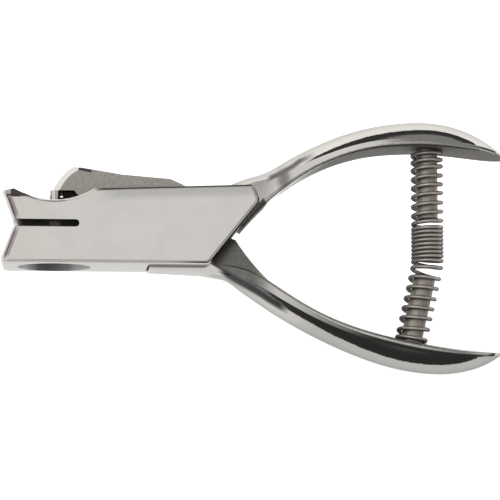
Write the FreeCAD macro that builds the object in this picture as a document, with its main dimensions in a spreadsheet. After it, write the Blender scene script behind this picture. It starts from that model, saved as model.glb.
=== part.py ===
import FreeCAD, Part
import Sketcher
import math
import os
from types import SimpleNamespace

# Hand-held slot punch for cards, lying on its side with the handles open, as at rest.
# X runs from the jaws to the handles, Y from the lower to the upper handle, Z is the tool's thickness.
# The origin is on the pivot axis, in the lower cheek's outer face, which the tool lies on.

Vector = FreeCAD.Vector
doc = FreeCAD.newDocument("card_slot_punch")

# Driving sizes in millimetres, angles in degrees, each with what it is
DRIVING_SIZES = [
    ("head_thickness", 25.0, "outer face of one cheek to outer face of the other"),
    ("cheek_thickness", 6.0, "each cheek beside the lever"),
    ("cheek_edge_radius", 1.1, "rounding along the cheeks' edges"),
    ("front_edge_radius", 2.7, "rounding of the jaws' upright front edges"),
    ("jaw_ahead", 15.6, "punch's centre to the lower jaw's front corner"),
    ("tip_ahead", 14.9, "punch's centre to the upper jaw's tip"),
    ("mouth_ahead", 11.4, "punch's centre to the bottom of the V-shaped mouth"),
    ("tip_height", 8.0, "pivot axis up to the upper jaw's tip"),
    ("tip_flat", 3.3, "length of the flat on that tip"),
    ("tip_nose_drop", 0.8, "how far that flat falls to the front"),
    ("tip_chamfer_height", 2.6, "slant on both sides of the upper jaw's tip, upright"),
    ("tip_chamfer_width", 3.4, "slant on both sides of the upper jaw's tip, across"),
    ("head_drop", 13.5, "pivot axis down to the head's underside"),
    ("cheek_rise", 9.6, "pivot axis up to the cheeks' rear top corner"),
    ("cheek_front_rise", 7.9, "pivot axis up to the cheeks' front top corner"),
    ("cheek_rear_reach", 23.6, "pivot axis to the cheeks' rearmost corner"),
    ("cheek_rear_rise", 4.9, "pivot axis up to that corner"),
    ("cheek_top_inset", 2.1, "top edge's rear end, in front of that corner"),
    ("cheek_foot_reach", 8.9, "pivot axis to the rear end of the underside"),
    ("cheek_corner_radius", 2.4, "rounding of the cheeks' rear corners"),
    ("saddle_radius", 20.6, "hollow in the top edge behind the upper jaw's tip"),
    ("saddle_behind", 11.0, "punch's centre to the rear end of that hollow"),
    ("throat_drop", 1.1, "pivot axis down to the throat's upper face"),
    ("throat_gap", 2.1, "height of the throat that the card enters"),
    ("throat_end_behind", 7.0, "punch's centre to the throat's closed end"),
    ("punch_reach", 35.0, "pivot axis to the punch's centre"),
    ("slot_length", 14.0, "length of the hole that the punch makes"),
    ("slot_width", 3.0, "width of the hole that the punch makes"),
    ("guide_clearance", 0.04, "play of the punch in its guide and die, each side"),
    ("guide_rise", 3.3, "pivot axis up to the top of the punch's guide"),
    ("guide_front_wall", 0.8, "punch to the front wall of the lever's slot"),
    ("guide_back", 3.9, "length of the guide block behind the punch"),
    ("punch_retract", 0.25, "punch's lower end above the throat at rest"),
    ("nose_gap", 0.15, "play between the nose and the punch's upper end"),
    ("lift_notch_rise", 5.0, "pivot axis up to the bottom of the punch's lifting notch"),
    ("lift_notch_height", 2.0, "height of that notch"),
    ("lift_notch_depth", 1.7, "depth of that notch"),
    ("lift_claw_width", 6.4, "width of the lever's lifting claw"),
    ("lift_claw_thickness", 5.0, "thickness of the claw's upright part"),
    ("lift_claw_gap", 0.8, "claw's upright part to the punch"),
    ("lift_clearance", 0.3, "play of the claw in the notch and in its pocket"),
    ("lift_pocket_floor", 1.7, "thickness left under the claw's pocket"),
    ("die_bore_diameter", 21.0, "bore in the lower jaw's underside"),
    ("die_neck_diameter", 17.0, "neck of the die, flush with the throat"),
    ("die_neck_height", 2.0, "height of the die's neck"),
    ("die_flange_height", 3.6, "height of the die's flange"),
    ("die_land", 2.6, "height of the die's cutting land"),
    ("die_relief", 0.8, "the die's hole widens by this below its land"),
    ("dowel_diameter", 1.2, "dowel that keeps the die's hole in line"),
    ("dowel_length", 2.6, "length of that dowel"),
    ("pivot_diameter", 8.0, "pivot pin"),
    ("running_clearance", 0.05, "play of the lever on the pivot pin"),
    ("lever_side_clearance", 0.15, "play between the lever and each cheek"),
    ("lever_stop_gap", 0.15, "lever's heel to its stop with the handles open"),
    ("hub_radius", 9.9, "lever round the pivot"),
    ("hub_clearance", 0.4, "lever's hub to the head's web"),
    ("hub_start_angle", 19.0, "hub's lower end, below the X axis"),
    ("hub_end_angle", 70.0, "hub's upper end, above the X axis"),
    ("web_angle", 10.0, "web's lower edge, below the X axis"),
    ("nose_ahead", 0.8, "punch's centre to the nose's front"),
    ("nose_rise", 8.0, "pivot axis up to the nose's underside"),
    ("nose_top", 15.0, "pivot axis up to the nose's top"),
    ("nose_bevel", 1.7, "ground bevel along the nose's front"),
    ("heel_reach", 8.0, "pivot axis to the lever's heel"),
    ("belly_drop", 14.4, "pivot axis down to the lever's belly at the heel"),
    ("gusset_reach", 28.6, "pivot axis to the rear end of the lever's flat plate"),
    ("gusset_drop", 19.5, "pivot axis down to that end"),
    ("gusset_start_reach", 16.8, "pivot axis to the front end of the plate's inner edge"),
    ("gusset_radius", 62.0, "hollow of the plate's inner edge"),
    ("handle_reach", 96.5, "pivot axis to the handles' ends"),
    ("handle_rise", 21.85, "pivot axis up to the upper handle's inner face"),
    ("handle_drop", 37.8, "pivot axis down to the lower handle's inner face"),
    ("handle_width", 18.4, "handles at their widest"),
    ("handle_depth", 8.1, "handles at their thickest"),
    ("handle_edge_radius", 1.0, "rounding along the handles' inner edges"),
    ("post_diameter", 6.2, "spring posts"),
    ("post_length", 20.6, "spring posts beyond the handles' inner faces"),
    ("lower_post_lean", 12.9, "lower post's lean towards the handles' ends"),
    ("post_end_radius", 0.8, "rounding of the posts' free ends"),
    ("post_shank_diameter", 4.2, "part of a post that is pressed into its handle"),
    ("post_shank_length", 4.0, "depth of that pressed part"),
    ("post_seat_depth", 0.3, "flat seat cut into the handle under each post"),
    ("post_seat_clearance", 0.05, "play round a post in that seat"),
    ("wire_diameter", 1.2, "spring wire"),
    ("coil_diameter", 9.6, "spring over its turns"),
    ("close_pitch", 1.8, "spring pitch in the closely wound middle"),
    ("close_length", 10.9, "length of that middle"),
    ("upper_pitch", 2.62, "spring pitch over the upper post"),
    ("lower_pitch", 2.95, "spring pitch over the lower post"),
    ("spring_bend", 5.8, "length before and after the spring's bend"),
    ("spring_seat_gap", 0.3, "spring's ends to the handles"),
    ("overrun", 3.0, "how far cuts run past a face"),
]

sheet = doc.addObject("Spreadsheet::Sheet", "dims")
for row, (alias, value, meaning) in enumerate(DRIVING_SIZES, start=1):
    sheet.set(f"A{row}", meaning)
    sheet.set(f"B{row}", str(value))
    sheet.setAlias(f"B{row}", alias)
doc.recompute()


class Size:
    """A size with the sheet expression that it comes from, so that what is made of it stays bound."""

    def __init__(self, value, text):
        self.value = float(value)
        self.text = text

    @staticmethod
    def of(number):
        return number if isinstance(number, Size) else Size(number, repr(float(number)))

    def __add__(self, other):
        other = Size.of(other)
        return Size(self.value + other.value, f"({self.text} + {other.text})")

    def __sub__(self, other):
        other = Size.of(other)
        return Size(self.value - other.value, f"({self.text} - {other.text})")

    def __mul__(self, other):
        other = Size.of(other)
        return Size(self.value * other.value, f"({self.text} * {other.text})")

    def __truediv__(self, other):
        other = Size.of(other)
        return Size(self.value / other.value, f"({self.text} / {other.text})")

    def __neg__(self):
        return Size(-self.value, f"(0 - {self.text})")

    def __radd__(self, other):
        return Size.of(other) + self

    def __rmul__(self, other):
        return Size.of(other) * self

    def __rsub__(self, other):
        return Size.of(other) - self


def root(size):
    return Size(math.sqrt(size.value), f"sqrt({size.text})")


def sine(degrees):
    return Size(math.sin(math.radians(degrees.value)), f"sin({degrees.text})")


def cosine(degrees):
    return Size(math.cos(math.radians(degrees.value)), f"cos({degrees.text})")


d = SimpleNamespace(**{alias: Size(sheet.get(alias), f"dims.{alias}") for alias, _, _ in DRIVING_SIZES})

# Places along the head that go with the punch
d.jaw_reach = d.punch_reach + d.jaw_ahead
d.tip_reach = d.punch_reach + d.tip_ahead
d.mouth_reach = d.punch_reach + d.mouth_ahead
d.nose_reach = d.punch_reach + d.nose_ahead
d.saddle_reach = d.punch_reach - d.saddle_behind
d.throat_end_reach = d.punch_reach - d.throat_end_behind

# Heights and places that several pieces share
middle = d.head_thickness * 0.5
throat_floor = -(d.throat_drop + d.throat_gap)
punch_foot = -d.throat_drop + d.punch_retract
punch_top = d.nose_rise - d.nose_gap
punch_back = -d.punch_reach + d.slot_width * 0.5
lever_thickness = d.head_thickness - 2 * (d.cheek_thickness + d.lever_side_clearance)


def bind(thing, prop, size):
    """Bind a property of an object to the sheet."""
    thing.setExpression(prop, Size.of(size).text)


def new_body(name):
    body = doc.addObject("PartDesign::Body", name)
    body.Label = name
    return body


def new_sketch(body, name, plane, offset=(0, 0, 0), turn=None):
    """A sketch on an origin plane of its body, moved by offset along the plane's own directions.

    turn is the angle about the plane's upright direction.
    """
    sketch = body.newObject("Sketcher::SketchObject", name)
    support = [item for item in body.Origin.OriginFeatures if item.Role == plane][0]
    sketch.AttachmentSupport = [(support, "")]
    sketch.MapMode = "FlatFace"
    offset = [Size.of(part) for part in offset]
    base = Vector(*[part.value for part in offset])
    angle = Size.of(0 if turn is None else turn)
    sketch.AttachmentOffset = FreeCAD.Placement(base, FreeCAD.Rotation(Vector(0, 1, 0), angle.value))
    for direction, part in zip("xyz", offset):
        bind(sketch, f"AttachmentOffset.Base.{direction}", part)
    if turn is not None:
        bind(sketch, "AttachmentOffset.Rotation.Angle", angle)
    return sketch


def hold(sketch, kind, geometry, point, size):
    """Hold one coordinate of a sketch's point at a size that is bound to the sheet."""
    index = sketch.addConstraint(Sketcher.Constraint(kind, -1, 1, geometry, point, size.value))
    bind(sketch, f"Constraints[{index}]", size)


def outline(sketch, corners, centres=None):
    """A closed outline through corners. centres gives the centre of a curved side, by its first corner."""
    centres = centres or {}
    corners = [(Size.of(across), Size.of(up)) for across, up in corners]
    places = [Vector(across.value, up.value, 0) for across, up in corners]
    count = len(corners)
    ends = []
    for index in range(count):
        first = places[index]
        last = places[(index + 1) % count]
        forward = True
        if index in centres:
            centre = Vector(Size.of(centres[index][0]).value, Size.of(centres[index][1]).value, 0)
            # A sketch keeps its arcs anticlockwise, so an arc may run against the outline
            forward = (first - centre).cross(last - centre).z > 0
            begin, finish = (first, last) if forward else (last, first)
            angles = [math.atan2(point.y - centre.y, point.x - centre.x) for point in (begin, finish)]
            ring = Part.Circle(centre, Vector(0, 0, 1), (first - centre).Length)
            sketch.addGeometry(Part.ArcOfCircle(ring, *angles), False)
        else:
            sketch.addGeometry(Part.LineSegment(first, last), False)
        ends.append((1, 2) if forward else (2, 1))
    for index in range(count):
        after = (index + 1) % count
        sketch.addConstraint(Sketcher.Constraint("Coincident", index, ends[index][1], after, ends[after][0]))
    for index in range(count):
        hold(sketch, "DistanceX", index, ends[index][0], corners[index][0])
        hold(sketch, "DistanceY", index, ends[index][0], corners[index][1])
    for index, centre in centres.items():
        # Both ends are held, so one coordinate fixes the centre
        chord = places[(index + 1) % count] - places[index]
        if abs(chord.x) > abs(chord.y):
            hold(sketch, "DistanceY", index, 3, Size.of(centre[1]))
        else:
            hold(sketch, "DistanceX", index, 3, Size.of(centre[0]))


def arc_centre(start, end, radius, side):
    """Centre of an arc between two corners; side is 1 for left of the way from start to end, or -1."""
    across = end[0] - start[0]
    up = end[1] - start[1]
    share = side * root(radius * radius / (across * across + up * up) - 0.25)
    return ((start[0] + end[0]) * 0.5 - up * share, (start[1] + end[1]) * 0.5 + across * share)


def obround(sketch, across, up, length, width):
    """An upright slot with round ends."""
    half = (length - width) * 0.5
    radius = width * 0.5
    low = (across, up - half)
    high = (across, up + half)
    outline(sketch, [(across - radius, low[1]), (across, low[1] - radius), (across + radius, low[1]),
                     (across + radius, high[1]), (across, high[1] + radius), (across - radius, high[1])],
            {0: low, 1: low, 3: high, 4: high})


def pad(body, name, sketch, length, reverse=False):
    feature = body.newObject("PartDesign::Pad", name)
    feature.Profile = sketch
    feature.Reversed = reverse
    bind(feature, "Length", length)
    doc.recompute()
    return feature


def cut_checked(body, feature, before):
    """A cut that points away from the solid takes nothing off and says nothing, so it is checked here."""
    doc.recompute()
    if not before - body.Tip.Shape.Volume > 0:
        raise ValueError(f"{feature.Name} cuts nothing")
    return feature


def pocket(body, name, sketch, depth, reverse=False):
    before = body.Tip.Shape.Volume
    feature = body.newObject("PartDesign::Pocket", name)
    feature.Profile = sketch
    feature.Reversed = reverse
    bind(feature, "Length", depth)
    return cut_checked(body, feature, before)


def bore(body, name, radius, length, place, lean=0, upright=False):
    """A round cut from place on. It runs along Z if upright, and otherwise along Y, turned by lean."""
    before = body.Tip.Shape.Volume
    feature = body.newObject("PartDesign::SubtractiveCylinder", name)
    place = [Size.of(part) for part in place]
    base = Vector(*[part.value for part in place])
    turn = FreeCAD.Rotation() if upright else FreeCAD.Rotation(lean, 0, -90)
    feature.Placement = FreeCAD.Placement(base, turn)
    for direction, part in zip("xyz", place):
        bind(feature, f"Placement.Base.{direction}", part)
    bind(feature, "Radius", radius)
    bind(feature, "Height", length)
    return cut_checked(body, feature, before)


def edges_where(feature, test):
    """Names of the feature's edges whose ends and middle all pass the test."""
    names = []
    for index, edge in enumerate(feature.Shape.Edges, start=1):
        middle_point = edge.valueAt((edge.FirstParameter + edge.LastParameter) * 0.5)
        points = [vertex.Point for vertex in edge.Vertexes] + [middle_point]
        if all(test(point) for point in points):
            names.append(f"Edge{index}")
    return names


def dress(body, name, kind, prop, size, test):
    """Fillet or chamfer the edges that pass the test."""
    base = body.Tip
    names = edges_where(base, test)
    if not names:
        raise ValueError(f"{name} finds no edge")
    feature = body.newObject(f"PartDesign::{kind}", name)
    feature.Base = (base, names)
    bind(feature, prop, size)
    doc.recompute()
    return feature


def near(number, size, slack=1e-4):
    return abs(number - Size.of(size).value) < slack


# Handles
# Each row of shares is a place along a handle: its reach, its inner face's height, the slope there,
# then the handle's depth and width, how much of the depth is its side, and the side's lean in degrees.

UPPER_HANDLE_SHARES = [
    (0.197, -0.115, 50.0, 1.850, 0.93, 0.80, 0.0),
    (0.228, 0.041, 47.2, 1.430, 0.94, 0.80, 0.0),
    (0.264, 0.204, 43.7, 1.299, 0.93, 0.74, 0.0),
    (0.311, 0.386, 39.0, 0.937, 0.91, 0.62, 3.0),
    (0.363, 0.554, 33.5, 0.834, 0.91, 0.48, 5.0),
    (0.425, 0.714, 26.8, 0.808, 0.92, 0.38, 5.0),
    (0.503, 0.857, 18.5, 0.840, 0.95, 0.33, 7.0),
    (0.591, 0.955, 9.9, 0.910, 0.98, 0.31, 12.0),
    (0.674, 0.993, 3.1, 0.978, 1.00, 0.30, 19.0),
    (0.762, 1.000, -2.3, 1.000, 1.00, 0.30, 24.0),
    (0.829, 0.981, -5.1, 0.922, 0.98, 0.30, 26.0),
    (0.886, 0.954, -6.7, 0.753, 0.94, 0.31, 27.0),
    (0.933, 0.928, -7.3, 0.523, 0.85, 0.33, 27.0),
    (0.964, 0.909, -7.5, 0.319, 0.70, 0.37, 26.0),
    (0.986, 0.896, -7.5, 0.165, 0.50, 0.43, 24.0),
    (1.000, 0.888, -7.5, 0.080, 0.30, 0.50, 22.0),
]
UPPER_POST_SHARE = 0.762

LOWER_HANDLE_SHARES = [
    (0.098, 0.328, -8.0, 0.350, 0.69, 0.70, 0.0),
    (0.135, 0.344, -11.0, 0.430, 0.70, 0.68, 0.0),
    (0.171, 0.354, -17.0, 0.540, 0.76, 0.60, 0.0),
    (0.207, 0.380, -24.0, 0.680, 0.84, 0.52, 0.0),
    (0.254, 0.438, -30.6, 0.770, 0.91, 0.45, 4.0),
    (0.311, 0.529, -33.2, 0.800, 0.93, 0.40, 8.0),
    (0.378, 0.636, -30.2, 0.786, 0.93, 0.36, 11.0),
    (0.456, 0.738, -23.9, 0.802, 0.94, 0.33, 17.0),
    (0.539, 0.818, -17.9, 0.873, 0.96, 0.31, 23.0),
    (0.627, 0.881, -13.5, 0.960, 0.99, 0.30, 27.0),
    (0.707, 0.925, -11.0, 0.988, 1.00, 0.30, 28.0),
    (0.782, 0.959, -9.0, 0.931, 1.00, 0.30, 28.0),
    (0.845, 0.981, -6.7, 0.802, 0.97, 0.30, 27.0),
    (0.896, 0.993, -4.0, 0.613, 0.90, 0.32, 26.0),
    (0.933, 0.998, -1.3, 0.420, 0.78, 0.35, 25.0),
    (0.959, 0.998, 1.0, 0.247, 0.60, 0.40, 24.0),
    (0.978, 0.997, 2.7, 0.110, 0.36, 0.48, 22.0),
]
LOWER_POST_SHARE = 0.707


def handle(body, name, shares, height, side):
    """A handle with a flat inner face and a crowned outer one. side is 1 where the crown points up."""
    sections = []
    for number, (along, level, slope, deep, wide, flat, lean) in enumerate(shares, start=1):
        place = (height * level, middle, d.handle_reach * along)
        sketch = new_sketch(body, f"{name}_section_{number}", "YZ_Plane", place, slope)
        depth = side * d.handle_depth * deep
        half = d.handle_width * wide * 0.5
        edge = d.handle_edge_radius * deep
        lean = Size.of(lean)
        # The rounding between the inner face and the leaning flank starts this far from their corner
        reach = edge * cosine(lean) / (1 - sine(lean))
        foot = (side * reach * cosine(lean), half - reach * sine(lean))
        flank = depth * flat
        shoulder = half - d.handle_depth * deep * flat * sine(lean) / cosine(lean)
        crown = (depth * depth - flank * flank - shoulder * shoulder) / (2 * (depth - flank))
        corners = [(0, reach - half), (0, half - reach), foot,
                   (flank, shoulder), (flank, -shoulder), (foot[0], -foot[1])]
        centres = {1: (side * edge, half - reach), 3: (crown, 0), 5: (side * edge, reach - half)}
        outline(sketch, corners, centres)
        sections.append(sketch)
    feature = body.newObject("PartDesign::AdditiveLoft", name)
    feature.Profile = sections[0]
    feature.Sections = sections[1:]
    doc.recompute()
    return feature


def post_foot(shares, post_share, height):
    """Where a post stands on its handle's inner face."""
    level = [row[1] for row in shares if row[0] == post_share][0]
    return (d.handle_reach * post_share, height * level)


upper_foot = post_foot(UPPER_HANDLE_SHARES, UPPER_POST_SHARE, d.handle_rise)
lower_foot = post_foot(LOWER_HANDLE_SHARES, LOWER_POST_SHARE, -d.handle_drop)
lower_lean = -d.lower_post_lean.value


def post_seat(body, name, foot, lean, side):
    """The flat seat and the hole that a post is pressed into. side is 1 in the upper handle."""
    across = -math.sin(math.radians(lean)) * side
    up = math.cos(math.radians(lean)) * side
    turn = lean if side > 0 else lean + 180
    start = (foot[0] - across * d.overrun, foot[1] - up * d.overrun, middle)
    seat_radius = d.post_diameter * 0.5 + d.post_seat_clearance
    bore(body, f"{name}_seat", seat_radius, d.overrun + d.post_seat_depth, start, turn)
    bore(body, f"{name}_hole", d.post_shank_diameter * 0.5,
         d.overrun + d.post_seat_depth + d.post_shank_length, start, turn)


# Head with both jaws, both cheeks and the upper handle, one forging
head = new_body("head_and_upper_handle")
mouth = (-d.mouth_reach, throat_floor + d.throat_gap * 0.5)
tip = (-d.tip_reach, d.tip_height - d.tip_nose_drop)
jaw = (-d.jaw_reach, -d.head_drop)
foot_corner = (d.cheek_foot_reach, -d.head_drop)
rear_corner = (d.cheek_rear_reach, d.cheek_rear_rise)
head_corners = [jaw, foot_corner, rear_corner, (d.cheek_rear_reach - d.cheek_top_inset, d.cheek_rise),
                (-d.saddle_reach, d.cheek_front_rise), (-d.tip_reach + d.tip_flat, d.tip_height), tip, mouth]
saddle = arc_centre(head_corners[4], head_corners[5], d.saddle_radius, -1)
sketch = new_sketch(head, "head_side", "XY_Plane")
outline(sketch, head_corners, {4: saddle})
pad(head, "head_block", sketch, d.head_thickness)


def on_line(point, first, last):
    """Whether a point lies over the line through two corners."""
    first, last = [Vector(Size.of(place[0]).value, Size.of(place[1]).value, 0) for place in (first, last)]
    way = (last - first).normalize()
    return abs((Vector(point.x, point.y, 0) - first).cross(way).z) < 1e-3


def upright_at(place):
    return lambda point: near(point.x, place[0]) and near(point.y, place[1])


def on_face(point):
    return near(point.z, 0) or near(point.z, d.head_thickness)


def front_edge(point):
    return on_face(point) and (on_line(point, tip, mouth) or on_line(point, mouth, jaw))


def in_throat(point):
    return (throat_floor.value - 1e-3 < point.y < -d.throat_drop.value + 1e-3
            and point.x < -d.throat_end_reach.value + 1e-3)


def long_edge(point):
    if in_throat(point) or math.hypot(point.x, point.y) < d.pivot_diameter.value:
        return False
    return on_face(point) and not on_line(point, tip, mouth) and not on_line(point, mouth, jaw)


dress(head, "foot_rounding", "Fillet", "Radius", d.cheek_corner_radius, upright_at(foot_corner))
dress(head, "rear_rounding", "Fillet", "Radius", d.cheek_corner_radius, upright_at(rear_corner))

# The throat takes the card and parts the two jaws
sketch = new_sketch(head, "throat_side", "XY_Plane", (0, 0, -d.overrun))
front = -d.jaw_reach - d.overrun
throat_middle = throat_floor + d.throat_gap * 0.5
throat_bend = (-d.throat_end_reach - d.throat_gap * 0.5, throat_middle)
outline(sketch, [(front, throat_floor), (throat_bend[0], throat_floor), (-d.throat_end_reach, throat_middle),
                 (throat_bend[0], -d.throat_drop), (front, -d.throat_drop)], {1: throat_bend, 2: throat_bend})
pocket(head, "throat", sketch, d.head_thickness + 2 * d.overrun, reverse=True)

# Both sides of the upper jaw's tip are ground to a slant
slant_low = d.tip_height - d.tip_chamfer_height
slant_high = d.tip_height + d.tip_chamfer_height
for name, face, inward in (("tip_slant_low", Size.of(0), 1), ("tip_slant_high", d.head_thickness, -1)):
    sketch = new_sketch(head, f"{name}_end", "YZ_Plane", (0, 0, -d.punch_reach))
    outline(sketch, [(slant_low, face), (slant_high, face),
                     (slant_high, face + 2 * inward * d.tip_chamfer_width)])
    pocket(head, name, sketch, d.jaw_reach)

# The lever works in a slot between the cheeks, closed to the rear by a web round the lever's hub
guide_rear = punch_back + d.guide_back
slot_front = -d.punch_reach - d.slot_width * 0.5 - d.guide_front_wall
stop = -d.heel_reach - d.lever_stop_gap
web_radius = d.hub_radius + d.hub_clearance
web_low = (web_radius * cosine(d.web_angle), -web_radius * sine(d.web_angle))
web_high = (web_radius * cosine(d.hub_end_angle), web_radius * sine(d.hub_end_angle))
slot_roof = d.nose_top + d.overrun
slot_floor = -d.belly_drop - d.overrun
SLOT_FLOOR_SHARES = [(0.55, 0.06), (0.32, 0.37), (0.0, 0.80)]
slot_corners = [(slot_front, slot_roof), (slot_front, d.guide_rise), (guide_rear, d.guide_rise)]
slot_corners += [(stop + (guide_rear - stop) * along, -d.head_drop * level)
                 for along, level in SLOT_FLOOR_SHARES]
slot_corners += [(stop, slot_floor), (d.cheek_rear_reach + d.overrun, slot_floor),
                 (d.cheek_rear_reach + d.overrun, web_low[1] - d.overrun), web_low, web_high,
                 (web_high[0], slot_roof)]
sketch = new_sketch(head, "lever_slot_side", "XY_Plane", (0, 0, d.cheek_thickness))
outline(sketch, slot_corners, {slot_corners.index(web_low): (0, 0)})
pocket(head, "lever_slot", sketch, d.head_thickness - 2 * d.cheek_thickness, reverse=True)

# The punch slides in a guide between the throat and the slot, and in grooves in both cheeks
sketch = new_sketch(head, "guide_end", "XZ_Plane", (0, 0, d.throat_drop + d.throat_gap * 0.5))
obround(sketch, -d.punch_reach, middle, d.slot_length + 2 * d.guide_clearance,
        d.slot_width + 2 * d.guide_clearance)
pocket(head, "punch_guide", sketch, d.throat_drop + d.tip_height + d.overrun)

# Room behind the punch for the claw that lifts it
claw_front = punch_back + d.lift_claw_gap
claw_rear = claw_front + d.lift_claw_thickness
claw_half = d.lift_claw_width * 0.5
pocket_half = claw_half + d.lift_clearance
pocket_rear = claw_rear + 2 * d.lift_clearance
sketch = new_sketch(head, "claw_room_end", "XZ_Plane", (0, 0, d.throat_drop - d.lift_pocket_floor))
outline(sketch, [(-d.punch_reach, middle - pocket_half), (pocket_rear, middle - pocket_half),
                 (pocket_rear, middle + pocket_half), (-d.punch_reach, middle + pocket_half)])
pocket(head, "claw_room", sketch, d.guide_rise + d.overrun)

# The die sits in a stepped bore from below
die_top = throat_floor
die_shoulder = die_top - d.die_neck_height
die_foot = die_shoulder - d.die_flange_height
bore(head, "die_bore", d.die_bore_diameter * 0.5, d.head_drop + d.overrun + die_shoulder,
     (-d.punch_reach, -d.head_drop - d.overrun, middle))
bore(head, "die_neck_bore", d.die_neck_diameter * 0.5, d.die_neck_height + d.throat_gap * 0.5,
     (-d.punch_reach, die_shoulder, middle))
dowel_reach = -d.punch_reach + (d.die_bore_diameter + d.die_neck_diameter) * 0.25
dowel_foot = die_shoulder - d.dowel_length * 0.5
bore(head, "dowel_hole", d.dowel_diameter * 0.5, d.dowel_length, (dowel_reach, dowel_foot, middle))

bore(head, "pivot_hole", d.pivot_diameter * 0.5, d.head_thickness + 2 * d.overrun,
     (0, 0, -d.overrun), upright=True)

dress(head, "front_rounding", "Fillet", "Radius", d.front_edge_radius, front_edge)
dress(head, "cheek_rounding", "Fillet", "Radius", d.cheek_edge_radius, long_edge)

handle(head, "upper_handle", UPPER_HANDLE_SHARES, d.handle_rise, 1)
post_seat(head, "upper_post", upper_foot, 0, 1)

# Lever with the nose that drives the punch, and the lower handle, one forging
lever = new_body("lever_and_lower_handle")
lever_foot = d.cheek_thickness + d.lever_side_clearance
hub_low = (d.hub_radius * cosine(d.hub_start_angle), -d.hub_radius * sine(d.hub_start_angle))
hub_high = (d.hub_radius * cosine(d.hub_end_angle), d.hub_radius * sine(d.hub_end_angle))
NOSE_SHARES = [(0.969, 0.27), (0.930, 0.57), (0.883, 0.83), (0.835, 1.0), (0.623, 0.83), (0.447, 0.68),
               (0.056, 0.52), (-0.017, 0.36)]
BELLY_SHARES = [(0.90, 1.42), (0.62, 1.22), (0.45, 1.19), (0.26, 1.12)]
nose_corners = [(-d.nose_reach * along, d.nose_rise + (d.nose_top - d.nose_rise) * level)
                for along, level in NOSE_SHARES]
UNDERSIDE_SHARES = [(1.0, 1.0), (0.824, 1.0), (0.798, 0.85), (0.60, 0.45), (0.307, -0.375)]
HEEL_SHARE = 0.74
GUSSET_START_SHARE = 0.3
plate_end = (d.gusset_reach, -d.gusset_drop)
plate_start = (d.gusset_start_reach, -d.gusset_drop * GUSSET_START_SHARE)
lever_corners = [(-d.nose_reach * along, d.nose_rise * level) for along, level in UNDERSIDE_SHARES]
lever_corners += [(-d.heel_reach, -d.head_drop * HEEL_SHARE), (-d.heel_reach, -d.belly_drop)]
lever_corners += [(d.gusset_reach * along, -d.head_drop * level) for along, level in BELLY_SHARES[::-1]]
lever_corners += [plate_end, plate_start, hub_low, hub_high]
lever_corners += nose_corners[::-1]
gusset = lever_corners.index(plate_end)
hub = lever_corners.index(hub_low)
sketch = new_sketch(lever, "lever_side", "XY_Plane", (0, 0, lever_foot))
outline(sketch, lever_corners, {gusset: arc_centre(plate_end, plate_start, d.gusset_radius, -1),
                                hub: (0, 0)})
pad(lever, "lever_plate", sketch, lever_thickness)


def nose_edge(point):
    on_side = near(point.z, lever_foot) or near(point.z, lever_foot + lever_thickness)
    return on_side and point.x < nose_corners[3][0].value + 1e-3 and point.y > d.nose_rise.value - 1e-3


dress(lever, "nose_bevels", "Chamfer", "Size", d.nose_bevel, nose_edge)
handle(lever, "lower_handle", LOWER_HANDLE_SHARES, -d.handle_drop, -1)

# The claw reaches down behind the punch and hooks into its notch
claw_foot = d.lift_notch_rise + d.lift_clearance
claw_hook_top = d.lift_notch_rise + d.lift_notch_height - 2 * d.lift_clearance
CLAW_SHARE = 0.5
claw_tip = punch_back - d.lift_notch_depth * CLAW_SHARE
sketch = new_sketch(lever, "claw_side", "XY_Plane", (0, 0, middle - claw_half))
outline(sketch, [(claw_tip, claw_foot), (claw_rear, claw_foot), (claw_rear, d.nose_rise + d.lift_clearance),
                 (claw_front, d.nose_rise + d.lift_clearance), (claw_front, claw_hook_top),
                 (claw_tip, claw_hook_top)])
pad(lever, "claw", sketch, d.lift_claw_width)

bore(lever, "lever_pivot_hole", d.pivot_diameter * 0.5 + d.running_clearance,
     d.head_thickness, (0, 0, 0), upright=True)
post_seat(lever, "lower_post", lower_foot, lower_lean, -1)

# Pivot pin, pressed into both cheeks and ground flush
pin = new_body("pivot_pin")
shaft = pin.newObject("PartDesign::AdditiveCylinder", "pin_shaft")
bind(shaft, "Radius", d.pivot_diameter * 0.5)
bind(shaft, "Height", d.head_thickness)
doc.recompute()

# Punch, as wide and long as the hole it makes
punch = new_body("punch_blade")
sketch = new_sketch(punch, "punch_end", "XZ_Plane", (0, 0, -punch_foot))
obround(sketch, -d.punch_reach, middle, d.slot_length, d.slot_width)
pad(punch, "punch_bar", sketch, punch_top - punch_foot, reverse=True)
sketch = new_sketch(punch, "lift_notch_side", "XY_Plane", (0, 0, middle - pocket_half))
outline(sketch, [(punch_back - d.lift_notch_depth, d.lift_notch_rise),
                 (punch_back + d.overrun, d.lift_notch_rise),
                 (punch_back + d.overrun, d.lift_notch_rise + d.lift_notch_height),
                 (punch_back - d.lift_notch_depth, d.lift_notch_rise + d.lift_notch_height)])
pocket(punch, "lift_notch", sketch, 2 * pocket_half, reverse=True)

# Die under the throat, a stepped button whose hole widens below its cutting land
die = new_body("die_button")


def disc(body, name, radius, height, place, lean=0):
    """A round bar along Y from place on, turned by lean."""
    feature = body.newObject("PartDesign::AdditiveCylinder", name)
    place = [Size.of(part) for part in place]
    base = Vector(*[part.value for part in place])
    feature.Placement = FreeCAD.Placement(base, FreeCAD.Rotation(lean, 0, -90))
    for direction, part in zip("xyz", place):
        bind(feature, f"Placement.Base.{direction}", part)
    bind(feature, "Radius", radius)
    bind(feature, "Height", height)
    doc.recompute()
    return feature


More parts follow.
